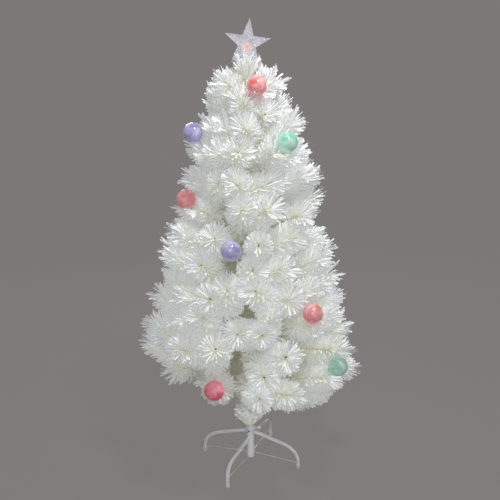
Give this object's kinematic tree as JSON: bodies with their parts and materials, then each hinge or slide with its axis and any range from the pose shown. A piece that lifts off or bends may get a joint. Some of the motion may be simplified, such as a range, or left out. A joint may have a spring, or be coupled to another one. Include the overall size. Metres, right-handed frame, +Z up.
{
  "type": "artificial christmas tree",
  "caption": "Small white artificial christmas tree with branch tiers, hollow balls, light fibres, a clear star and a folding steel stand.",
  "frame": {"origin": "on the floor under the trunk, at the middle of the branches' spread", "axes": "+Z up along the trunk, -Y towards the front of the star, +X to the right seen from the front"},
  "size_m": [0.6297, 0.6286, 1.2],
  "materials": {
    "white_paint": "satin white powder coat",
    "cap_plastic": "matte warm grey moulding",
    "brace_wire": "dull beige plated wire",
    "white_plastic": "white moulding",
    "needle_film": "white slit film, translucent, cream at the roots",
    "board_green": "circuit board lacquer",
    "clear_plastic": "clear moulded lens",
    "fibre_clear": "bundle of clear light fibres",
    "black_plastic": "black moulding",
    "star_clear": "clear plastic with fine glitter",
    "copper_glow": "copper-coloured rays in clear plastic",
    "ball_coral": "pearly coral",
    "ball_mint": "pearly mint green",
    "ball_lilac": "pearly lilac",
    "ball_pink": "pearly pink"
  },
  "bodies": {
    "stand": {"stand_tube": "white_paint", "stand_tube_plug": "cap_plastic", "front_leg": "white_paint", "back_leg": "white_paint", "front_foot_cap": "cap_plastic", "back_foot_cap": "cap_plastic", "front_brace": "brace_wire", "back_brace": "brace_wire", "clamp_nut": "white_paint"},
    "turning_legs": {"leg_ring": "white_paint", "brace_ring": "white_paint", "left_leg": "white_paint", "right_leg": "white_paint", "left_foot_cap": "cap_plastic", "right_foot_cap": "cap_plastic", "left_brace": "brace_wire", "right_brace": "brace_wire"},
    "clamp_screw": {"clamp_screw_shank": "brace_wire", "clamp_screw_knob": "white_plastic"},
    "trunk_base": {"pole_end_plug": "white_plastic"},
    "lower_section": {"lower_pole": "white_paint", "lamp_housing": "black_plastic", "led_board": "board_green", "light_lens": "clear_plastic", "fibre_ferrule": "black_plastic", "power_inlet": "black_plastic", "trunk_skirt": "needle_film", "branch_tier_01": "needle_film", "branch_tier_02": "needle_film", "branch_tier_03": "needle_film", "branch_tier_04": "needle_film", "branch_tier_05": "needle_film", "branch_tier_06": "needle_film", "branch_tier_07": "needle_film", "branch_tier_08": "needle_film", "ball_coral_left": "ball_coral", "ball_lilac_front": "ball_lilac", "ball_coral_right": "ball_coral", "ball_mint_right": "ball_mint", "ball_pink_front": "ball_pink", "ball_coral_back": "ball_coral", "ball_mint_back": "ball_mint", "ball_lilac_back": "ball_lilac"},
    "upper_section": {"upper_pole": "white_paint", "fibre_bundle": "fibre_clear", "branch_tier_09": "needle_film", "branch_tier_10": "needle_film", "branch_tier_11": "needle_film", "branch_tier_12": "needle_film", "branch_tier_13": "needle_film", "ball_coral_top": "ball_coral", "ball_mint_top": "ball_mint", "ball_lilac_left": "ball_lilac", "ball_pink_back": "ball_pink", "leader_sprig": "needle_film", "star_stem": "brace_wire"},
    "star": {"star_sleeve": "white_plastic", "star_core": "copper_glow", "star_front": "star_clear", "star_back": "star_clear"}
  },
  "joints": [
    {"name": "leg_fold", "type": "hinge", "parent": "stand", "child": "turning_legs", "pos_m": [0, 0, 0], "axis": [0, 0, 1], "range_deg": [0, 77]},
    {"name": "clamp_screw_turn", "type": "hinge", "parent": "stand", "child": "clamp_screw", "pos_m": [0.02, 0, 0.1018], "axis": [1, 0, 0], "range_deg": [0, 1080]},
    {"name": "trunk_lift", "type": "slide", "parent": "stand", "child": "trunk_base", "axis": [0, 0, 1], "range_m": [0, 0.09]},
    {"name": "trunk_turn", "type": "hinge", "parent": "trunk_base", "child": "lower_section", "pos_m": [0, 0, 0.1], "axis": [0, 0, 1], "continuous": true},
    {"name": "top_section_lift", "type": "slide", "parent": "lower_section", "child": "upper_section", "axis": [0, 0, 1], "range_m": [0, 0.065]},
    {"name": "star_lift", "type": "slide", "parent": "upper_section", "child": "star", "axis": [0.1219, 0, 0.9925], "range_m": [0, 0.03]}
  ]
}
